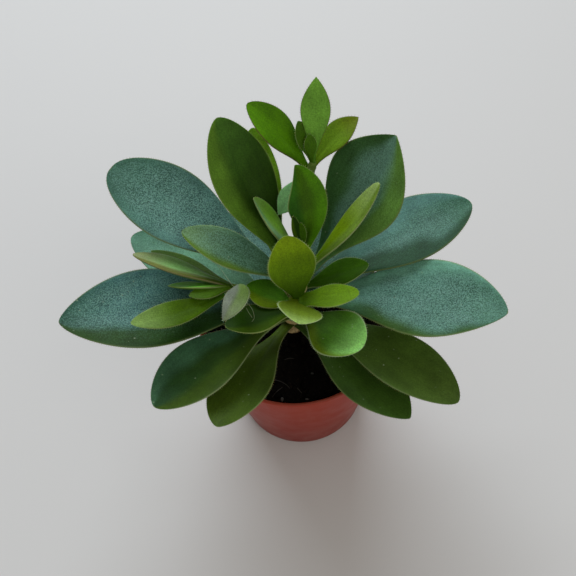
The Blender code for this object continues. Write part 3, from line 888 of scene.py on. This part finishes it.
def smooth_path(points, stations):
    """Evenly spaced points along a smooth curve through the given points."""
    nodes = [Vector(p) for p in points]
    nodes = [2 * nodes[0] - nodes[1], *nodes, 2 * nodes[-1] - nodes[-2]]
    dense = []
    for before, start, end, after in zip(nodes, nodes[1:], nodes[2:], nodes[3:]):
        for step in range(PATH_STEPS):
            t = step / PATH_STEPS
            linear = (end - before) * t
            square = (2 * before - 5 * start + 4 * end - after) * t * t
            cubic = (3 * start - before - 3 * end + after) * t**3
            dense.append(start + (linear + square + cubic) / 2)
    dense.append(nodes[-2])
    dense = np.array(dense)
    reach = np.concatenate([[0.0], np.cumsum(np.linalg.norm(np.diff(dense, axis=0), axis=1))])
    goals = np.linspace(0, reach[-1], stations + 1)
    return np.stack([np.interp(goals, reach, dense[:, axis]) for axis in range(3)], axis=1)


def point_at_share(points, share):
    return smooth_path(points, ROOT_STATIONS)[round(share * ROOT_STATIONS)]


def point_at_height(height):
    """The point of the main stem's axis, with its green tip, at a height."""
    path = smooth_path([*STEM_POINTS, *TOP_STEM_POINTS], ROOT_STATIONS)
    return path[np.argmin(np.abs(path[:, 2] - height))]


def blend(start, end, value):
    """From 0 to 1, softly, as value goes from start to end."""
    share = np.clip((value - start) / (end - start), 0, 1)
    return share * share * (3 - 2 * share)


def waves(points, length):
    return np.array([noise.noise(Vector(p) / length) for p in points])


def unit(rows):
    return rows / np.linalg.norm(rows, axis=1, keepdims=True)


def across_axes(path):
    """Two directions square to a path at each of its points."""
    run = unit(np.gradient(path, axis=0))
    first = unit(np.cross(run, np.array(SIDE_HINT)))
    return first, np.cross(run, first)


def tube(path, radii, sides):
    """Rings of points round a path with a radius at each point, and its two ends."""
    first, second = across_axes(path)
    turn = 2 * math.pi * np.arange(sides) / sides
    one = first[:, None] * np.cos(turn)[None, :, None]
    two = second[:, None] * np.sin(turn)[None, :, None]
    points = path[:, None] + (one + two) * np.asarray(radii)[:, None, None]
    return np.vstack([points.reshape(-1, 3), path[:1], path[-1:]]), shell_faces(len(path), sides)


def add_stem(pile, points, radii, low_tint, high_tint, ridge_share):
    """A stem with the low rings that old leaves leave, and a little unevenness."""
    length = np.linalg.norm(np.diff(np.array(points), axis=0), axis=1).sum()
    stations = round(length * STEM_RINGS_PER_MM)
    path = smooth_path(points, stations)
    t = np.linspace(0, 1, stations + 1)
    radius = radii[0] + (radii[1] - radii[0]) * t
    phase = (t * length / RIDGE_SPACING) % 1.0
    ridge = np.exp(-(((phase - 0.5) / RIDGE_WIDTH) ** 2))
    radius = radius - RIDGE_HEIGHT + ridge_share * RIDGE_HEIGHT * 2 * ridge
    for step in range(STEM_END_STEPS):
        share = STEM_END_SHARE + (1 - STEM_END_SHARE) * step / STEM_END_STEPS
        radius[step] *= share
        radius[-1 - step] *= share
    shape, faces = tube(path, radius, STEM_SIDES)
    middle = np.vstack([np.repeat(path, STEM_SIDES, axis=0), path[:1], path[-1:]])
    shape = shape + (shape - middle) * (waves(shape, STEM_WOBBLE_LENGTH) * STEM_WOBBLE)[:, None]
    share = np.concatenate([np.repeat(t, STEM_SIDES), [0.0, 1.0]])[:, None]
    tint = np.array(low_tint) * (1 - share) + np.array(high_tint) * share
    pile.add(shape, faces, tint)


def leaf_axes(leaf, t):
    """The midrib's heading, the blade's side and its upper normal at each share t."""
    azimuth = np.radians(leaf.azimuth + leaf.swing * t)
    pitch = np.radians(leaf.pitch + leaf.bend * t)[..., None]
    roll = math.radians(leaf.roll)
    zero = np.zeros_like(azimuth)
    level = np.stack([np.cos(azimuth), np.sin(azimuth), zero], axis=-1)
    up = np.array([0.0, 0.0, 1.0])
    heading = np.cos(pitch) * level + np.sin(pitch) * up
    normal = np.cos(pitch) * up - np.sin(pitch) * level
    side = np.stack([-np.sin(azimuth), np.cos(azimuth), zero], axis=-1)
    rolled_side = math.cos(roll) * side + math.sin(roll) * normal
    rolled_normal = math.cos(roll) * normal - math.sin(roll) * side
    return heading, rolled_side, rolled_normal


def midrib(leaf, root, t):
    """Points of the midrib at each share t."""
    heading, _, _ = leaf_axes(leaf, (np.arange(MIDRIB_STATIONS) + 0.5) / MIDRIB_STATIONS)
    chain = np.vstack([root, root + np.cumsum(heading * leaf.length / MIDRIB_STATIONS, axis=0)])
    stations = np.linspace(0, 1, MIDRIB_STATIONS + 1)
    return np.stack([np.interp(t, stations, chain[:, axis]) for axis in range(3)], axis=-1)


def half_width(leaf, t):
    power = math.log(0.5) / math.log(leaf.widest)
    roundness = OUTLINE_POWER + (leaf.tip - OUTLINE_POWER) * t
    swell = np.maximum(np.sin(math.pi * t**power), 0.0) ** roundness
    return leaf.width / 2 * (swell + leaf.foot * (1 - t) ** FOOT_POWER * (1 - swell))


def half_thickness(leaf, t):
    bulge = np.maximum(np.sin(math.pi * t**THICKNESS_SHIFT), 0.0) ** THICKNESS_POWER
    body = bulge * (1 - THICKNESS_LOSS * t)
    return leaf.thickness / 2 * np.maximum(body, ROOT_THICKNESS * (1 - t) ** ROOT_POWER)


def surface(leaf, root, t, across, lift):
    """Points of the blade's skin: share along it, share across it, and up or down."""
    _, side, normal = leaf_axes(leaf, t)
    wide = half_width(leaf, t)
    thick = half_thickness(leaf, t)
    cup = CUP_DEPTH * wide * (across**2 - CUP_LEVEL) * np.minimum(1.0, t / CUP_START)
    rise = lift * thick + cup
    groove = np.exp(-((across / GROOVE_WIDTH) ** 2))
    groove = groove * blend(*GROOVE_ALONG, t) * blend(*GROOVE_LIFT, lift)
    rise = rise - GROOVE_DEPTH * groove * np.minimum(thick / GROOVE_FULL, 1.0)
    middle = midrib(leaf, root, t)
    points = middle + side * (across * wide)[..., None]
    wave = WAVE_DEPTH * waves(points, WAVE_LENGTH)
    rise = rise + wave * blend(*WAVE_ALONG, t) * np.abs(lift) ** WAVE_POWER
    return points + normal * rise[..., None]


def zones(look, t, across):
    """How far each point of a blade belongs to its tip, its sides and its foot."""
    start = look.side_start + look.side_slant * t
    reach = {
        "tip": blend(*TIP_ZONE, t),
        "left": blend(start, start + SIDE_ZONE_WIDTH, across),
        "right": blend(-start, -start - SIDE_ZONE_WIDTH, across),
        "foot": blend(look.foot_reach, FOOT_ZONE_END, t),
    }
    return {zone: share for zone, share in reach.items() if getattr(look, zone) is not None}


def leaf_tint(look, t, across, lift):
    colour = np.broadcast_to(np.array(look.body, float), (len(t), 3))
    for zone, share in zones(look, t, across).items():
        colour = colour + (np.array(getattr(look, zone)) - colour) * share[:, None]
    return colour + (np.array(look.under) - colour) * blend(*UNDER_SIDE, lift)[:, None]


def leaf_bloom_and_sheen(look, t, across, lift):
    """The bloom and its painted sheen, worn away at the outline, and at sides and a foot that take
    a tint of their own, in places painted shade and painted light.
    """
    bloom_and_sheen = look.bloom_and_sheen * blend(*UPPER_SIDE, lift) * blend(*BLOOM_AND_SHEEN_ALONG, t)
    bloom_and_sheen = bloom_and_sheen * (1 - WORN_EDGE * blend(*WORN_EDGE_ZONE, np.abs(across)))
    bloom_and_sheen = bloom_and_sheen * (1 - WORN_TIP * blend(*WORN_TIP_ZONE, t))
    for zone, share in zones(look, t, across).items():
        if zone != "tip":
            bloom_and_sheen = bloom_and_sheen * (1 - ZONE_BLOOM_LOSS * share)
    return bloom_and_sheen


def add_blade(pile, leaf, root, rings, sides):
    """A blade's closed shell, with its tint and its painted shade and light, its rim, its bloom and
    painted sheen, its specks, and its place along.
    """
    turn = 2 * math.pi * np.arange(sides) / sides
    share = (1 - np.cos(math.pi * np.arange(1, rings) / rings)) / 2
    t = np.concatenate([np.repeat(share, sides), [0.0, 1.0]])
    across = np.concatenate([np.tile(np.cos(turn), rings - 1), [0.0, 0.0]])
    lift = np.tile(np.sign(np.sin(turn)) * np.abs(np.sin(turn)) ** SECTION_POWER, rings - 1)
    lift = np.concatenate([lift, [0.0, 0.0]])
    points = surface(leaf, root, t, across, lift)
    rim = np.maximum(np.abs(across) ** RIM_POWER, blend(*RIM_TIP, t))
    rim = rim * blend(*RIM_ALONG, t)
    upper = blend(*UPPER_SIDE, lift)
    drifted = across + DRIFT * waves(points, DRIFT_LENGTH)
    bloom_and_sheen = leaf_bloom_and_sheen(leaf.look, t, drifted, lift)
    marks = np.stack([rim, bloom_and_sheen, leaf.look.specks * upper], axis=-1)
    tint = leaf_tint(leaf.look, t, drifted, lift)
    along = [t * leaf.length, across * half_width(leaf, t), np.sign(lift) + leaf.azimuth]
    along = np.stack(along, axis=-1) * MM
    faces = shell_faces(rings - 1, sides)
    pile.add(points, faces, tint, marks, leaf.look.margin, along)


def add_hairs(pile, leaf, root, chance):
    """Short hairs that point out and forward along both margins of a blade."""
    stations = np.linspace(HAIR_START, HAIR_END, round(leaf.length / HAIR_SPACING) + 1)
    for sign in (-1.0, 1.0):
        ones = np.ones_like(stations)
        base = surface(leaf, root, stations, sign * ones, 0.0 * ones)
        _, _, normal = leaf_axes(leaf, stations)
        run = unit(np.gradient(base, axis=0))
        outward = unit(np.cross(run, normal) * -sign)
        for place, out, along, up in zip(base, outward, run, normal):
            length = chance.uniform(*HAIR_LENGTHS)
            lean = chance.uniform(0, 2) * HAIR_LEAN
            tilt = chance.uniform(-1, 1) * HAIR_LEAN
            aim = out + along * lean + up * tilt
            aim /= np.linalg.norm(aim)
            add_spike(pile, place, aim, along, length, leaf.look.margin)


def add_spike(pile, place, aim, along, length, tint):
    """One hair: a thin three-sided spike with its foot in the margin."""
    other = np.cross(aim, along)
    points = []
    for corner in range(HAIR_SIDES):
        turn = 2 * math.pi * corner / HAIR_SIDES
        spread = along * math.cos(turn) + other * math.sin(turn)
        points.append(place - aim * HAIR_RADIUS + spread * HAIR_RADIUS)
    points.append(place + aim * length)
    tint = np.minimum(np.array(tint) * HAIR_BRIGHTNESS, 1.0)
    pile.add(points, [(0, 2, 1), (0, 1, 3), (1, 2, 3), (2, 0, 3)], tint, finish=1)


def seeded(name):
    return random.Random(f"{SEED} {name}")


def make_large_leaves(skin, hair):
    for leaf in LARGE_LEAVES:
        root = point_at_height(leaf.at)
        pile = Pile()
        add_blade(pile, leaf, root, LARGE_RINGS, LARGE_SIDES)
        add_hairs(pile, leaf, root, seeded(leaf.name))
        pile.piece(leaf.name + "_blade", leaf.name, [skin, hair])


def make_shoot(name, points, radii, leaves, slot, skin, hair):
    pile = Pile()
    add_stem(pile, points, radii, SHOOT_LOW_COLOUR, SHOOT_HIGH_COLOUR, SHOOT_RIDGE_SHARE)
    for leaf in leaves:
        root = point_at_share(points, leaf.at)
        add_blade(pile, leaf, root, SMALL_RINGS, SMALL_SIDES)
        add_hairs(pile, leaf, root, seeded(name + leaf.name))
    if name == "left_shoot":
        for thread in THREADS:
            path = smooth_path(thread, THREAD_STATIONS)
            shape, faces = tube(path, np.full(len(path), THREAD_RADIUS), THREAD_SIDES)
            pile.add(shape, faces, THREAD_COLOUR, finish=1)
    pile.piece(name + "_leaves", name, [skin, hair])


def make_stem(bark):
    pile = Pile()
    add_stem(pile, STEM_POINTS, STEM_RADII, STEM_LOW_LIT_COLOUR, STEM_HIGH_LIT_COLOUR, STEM_RIDGE_SHARE)
    pile.piece("stem_with_bark", "main_stem", [bark])


def pot_radius(height):
    return POT_BASE_RADIUS + (POT_RIM_RADIUS - POT_BASE_RADIUS) * height / POT_HEIGHT


def arc(centre, radius, start, end):
    """Points of (radius, height) on a rounding, at angles in degrees."""
    turns = np.radians(np.linspace(start, end, POT_ARC_STEPS + 1))
    return [(centre[0] + radius * math.cos(a), centre[1] + radius * math.sin(a)) for a in turns]


def turned(profile, steps):
    """A turned body: rings from a profile of (radius, height), and the points on its axis."""
    turn = 2 * math.pi * np.arange(steps) / steps
    rings = [
        np.stack([radius * np.cos(turn), radius * np.sin(turn), np.full(steps, height)], axis=1)
        for radius, height in profile[1:-1]
    ]
    ends = [(0.0, 0.0, profile[0][1]), (0.0, 0.0, profile[-1][1])]
    return np.vstack([*rings, ends]), shell_faces(len(profile) - 2, steps)


def make_pot(plastic):
    lip = POT_WALL / 2
    lip_centre = (pot_radius(POT_HEIGHT) - lip, POT_HEIGHT - lip)
    corner_centre = (pot_radius(POT_CORNER) - POT_CORNER, POT_CORNER)
    profile = [
        (0, POT_FLOOR),
        (pot_radius(POT_FLOOR) - POT_WALL, POT_FLOOR),
        *arc(lip_centre, lip, 180, 0),
        *arc(corner_centre, POT_CORNER, 0, -90),
        (0, 0),
    ]
    pile = Pile()
    pile.add(*turned(profile, POT_STEPS))
    pot = pile.piece("pot_body", "pot", [plastic])
    for number in range(DRAIN_HOLE_COUNT):
        angle = 2 * math.pi * number / DRAIN_HOLE_COUNT
        drill(pot, DRAIN_HOLE_CIRCLE * math.cos(angle), DRAIN_HOLE_CIRCLE * math.sin(angle))
    pot.data.set_sharp_from_angle(angle=math.radians(POT_SHARP_ANGLE))


def drill(item, x, y):
    """Cuts one drain hole through the pot's floor."""
    bottom = -CUTTER_REACH
    top = POT_FLOOR + CUTTER_REACH
    mesh = bpy.data.meshes.new("cutter")
    profile = [(0, bottom), (DRAIN_HOLE_RADIUS, bottom), (DRAIN_HOLE_RADIUS, top), (0, top)]
    points, faces = turned(profile, CUTTER_SIDES)
    mesh.from_pydata(((points + np.array([x, y, 0.0])) * MM).tolist(), [], faces)
    face_outward(mesh)
    cutter = placed("cutter", mesh)
    boolean = item.modifiers.new("cut", "BOOLEAN")
    boolean.operation = "DIFFERENCE"
    boolean.solver = "EXACT"
    boolean.object = cutter
    bpy.context.view_layer.update()
    depsgraph = bpy.context.evaluated_depsgraph_get()
    made = bpy.data.meshes.new_from_object(item.evaluated_get(depsgraph))
    item.modifiers.clear()
    item.data = made
    bpy.data.objects.remove(cutter, do_unlink=True)


def soil_radius(height):
    return pot_radius(height) - POT_WALL - SOIL_SIDE_GAP


def soil_height(points):
    """Height of the soil at each place, with its lumps."""
    share = np.hypot(points[:, 0], points[:, 1]) / soil_radius(SOIL_EDGE_HEIGHT)
    height = SOIL_CROWN_HEIGHT + (SOIL_EDGE_HEIGHT - SOIL_CROWN_HEIGHT) * share**2
    flat = points * np.array([1.0, 1.0, 0.0])
    for size, depth in SOIL_LUMPS:
        height = height + depth * waves(flat, size)
    return height


def lying_at(x, y):
    """The point of the soil's surface at a place."""
    return (x, y, soil_height(np.array([[x, y, 0.0]]))[0])


def add_lump(pile, centre, size, chance, tint, finish):
    """A small irregular crumb or grain."""
    shape = bmesh.new()
    bmesh.ops.create_icosphere(shape, subdivisions=LUMP_SUBDIVISIONS, radius=1.0)
    points = np.array([tuple(v.co) for v in shape.verts])
    faces = [tuple(v.index for v in face.verts) for face in shape.faces]
    shape.free()
    offset = np.array([chance.uniform(0, LUMP_VARIETY) for _ in range(3)])
    points = points * (1 + LUMP_ROUGHNESS * waves(points * LUMP_BUMPS + offset, 1.0))[:, None]
    stretch = np.array([chance.uniform(*LUMP_STRETCHES) for _ in range(3)])
    pile.add(np.array(centre) + points * stretch * size, faces, tint, finish=finish)


def on_soil(chance, inner, outer):
    """A random place on the soil, at least so far from the stem."""
    while True:
        reach = outer * math.sqrt(chance.random())
        angle = chance.uniform(0, 2 * math.pi)
        place = np.array([[reach * math.cos(angle), reach * math.sin(angle), 0.0]])
        if math.dist(place[0, :2], STEM_PLACE) > inner:
            place[0, 2] = soil_height(place)[0]
            return place[0]


def make_soil(peat, mineral):
    chance = seeded("soil")
    bottom = POT_FLOOR + SOIL_BOTTOM_GAP
    edge = soil_radius(SOIL_EDGE_HEIGHT)
    top_rings = [(edge * (ring + 1) / SOIL_RINGS, SOIL_CROWN_HEIGHT) for ring in range(SOIL_RINGS)]
    profile = [
        (0, SOIL_CROWN_HEIGHT),
        *top_rings,
        (soil_radius(bottom), bottom),
        (0, bottom),
    ]
    points, faces = turned(profile, SOIL_STEPS)
    high = points[:, 2] > SOIL_EDGE_HEIGHT
    points[high, 2] = soil_height(points[high])
    pile = Pile()
    pile.add(points, faces, PEAT_AND_SHADE_COLOUR)
    outer = edge - CRUMB_SIZES[1]
    for _ in range(CRUMB_COUNT):
        size = chance.uniform(*CRUMB_SIZES)
        shade = chance.uniform(*CRUMB_SHADES)
        place = on_soil(chance, STEM_RADII[0] + size, outer)
        add_lump(pile, place, size, chance, tuple(shade * part for part in PEAT_AND_SHADE_COLOUR), 0)
    for _ in range(GRAIN_COUNT):
        size = chance.uniform(*GRAIN_SIZES)
        place = on_soil(chance, STEM_RADII[0] + size, outer)
        grey = chance.uniform(*SHADED_GRAIN_GREYS)
        add_lump(pile, place, size, chance, tuple(grey * part for part in GRAIN_TINT), 1)
    for _ in range(FIBRE_COUNT):
        place = on_soil(chance, STEM_RADII[0] + FIBRE_STEM_ROOM, outer - FIBRE_START_ROOM)
        add_fibre(pile, place, chance)
    for x, y in PALE_GRAINS:
        add_lump(pile, lying_at(x, y), PALE_GRAIN_SIZE, chance, PALE_GRAIN_COLOUR, 1)
    for x, y in LONG_FIBRES:
        add_fibre(pile, lying_at(x, y), chance)
    pile.piece("soil_with_grains", "soil", [peat, mineral])


def add_fibre(pile, start, chance):
    """A thin root or coir fibre that lies over the crumbs."""
    length = chance.uniform(*FIBRE_LENGTHS)
    angle = chance.uniform(0, 2 * math.pi)
    curl = chance.uniform(-FIBRE_CURL, FIBRE_CURL)
    limit = soil_radius(SOIL_EDGE_HEIGHT) - FIBRE_EDGE_ROOM
    path = [np.array(start)]
    while len(path) < length / FIBRE_STEP:
        step = np.array([math.cos(angle), math.sin(angle), 0.0]) * FIBRE_STEP
        after = path[-1] + step
        if math.hypot(after[0], after[1]) > limit:
            break
        after[2] = soil_height(after[None])[0] + FIBRE_RADIUS
        path.append(after)
        angle += curl * FIBRE_STEP + chance.uniform(-FIBRE_WANDER, FIBRE_WANDER)
    if len(path) > FIBRE_FEWEST:
        smooth = smooth_path([tuple(p) for p in path[::FIBRE_THINNING]], len(path))
        turn = np.linspace(FIBRE_TAPER, math.pi - FIBRE_TAPER, len(smooth))
        shape, faces = tube(smooth, FIBRE_RADIUS * np.sin(turn) ** FIBRE_TAPER_POWER, FIBRE_SIDES)
        pile.add(shape, faces, FIBRE_COLOUR, finish=1)


make_camera()
make_light()
make_floor()
leaf_skin = leaf_material()
margin_hair = hair_material()
make_pot(pot_material())
make_soil(soil_material(), mineral_material())
make_stem(bark_material())
make_large_leaves(leaf_skin, margin_hair)
for shoot in SHOOTS:
    make_shoot(*shoot, leaf_skin, margin_hair)
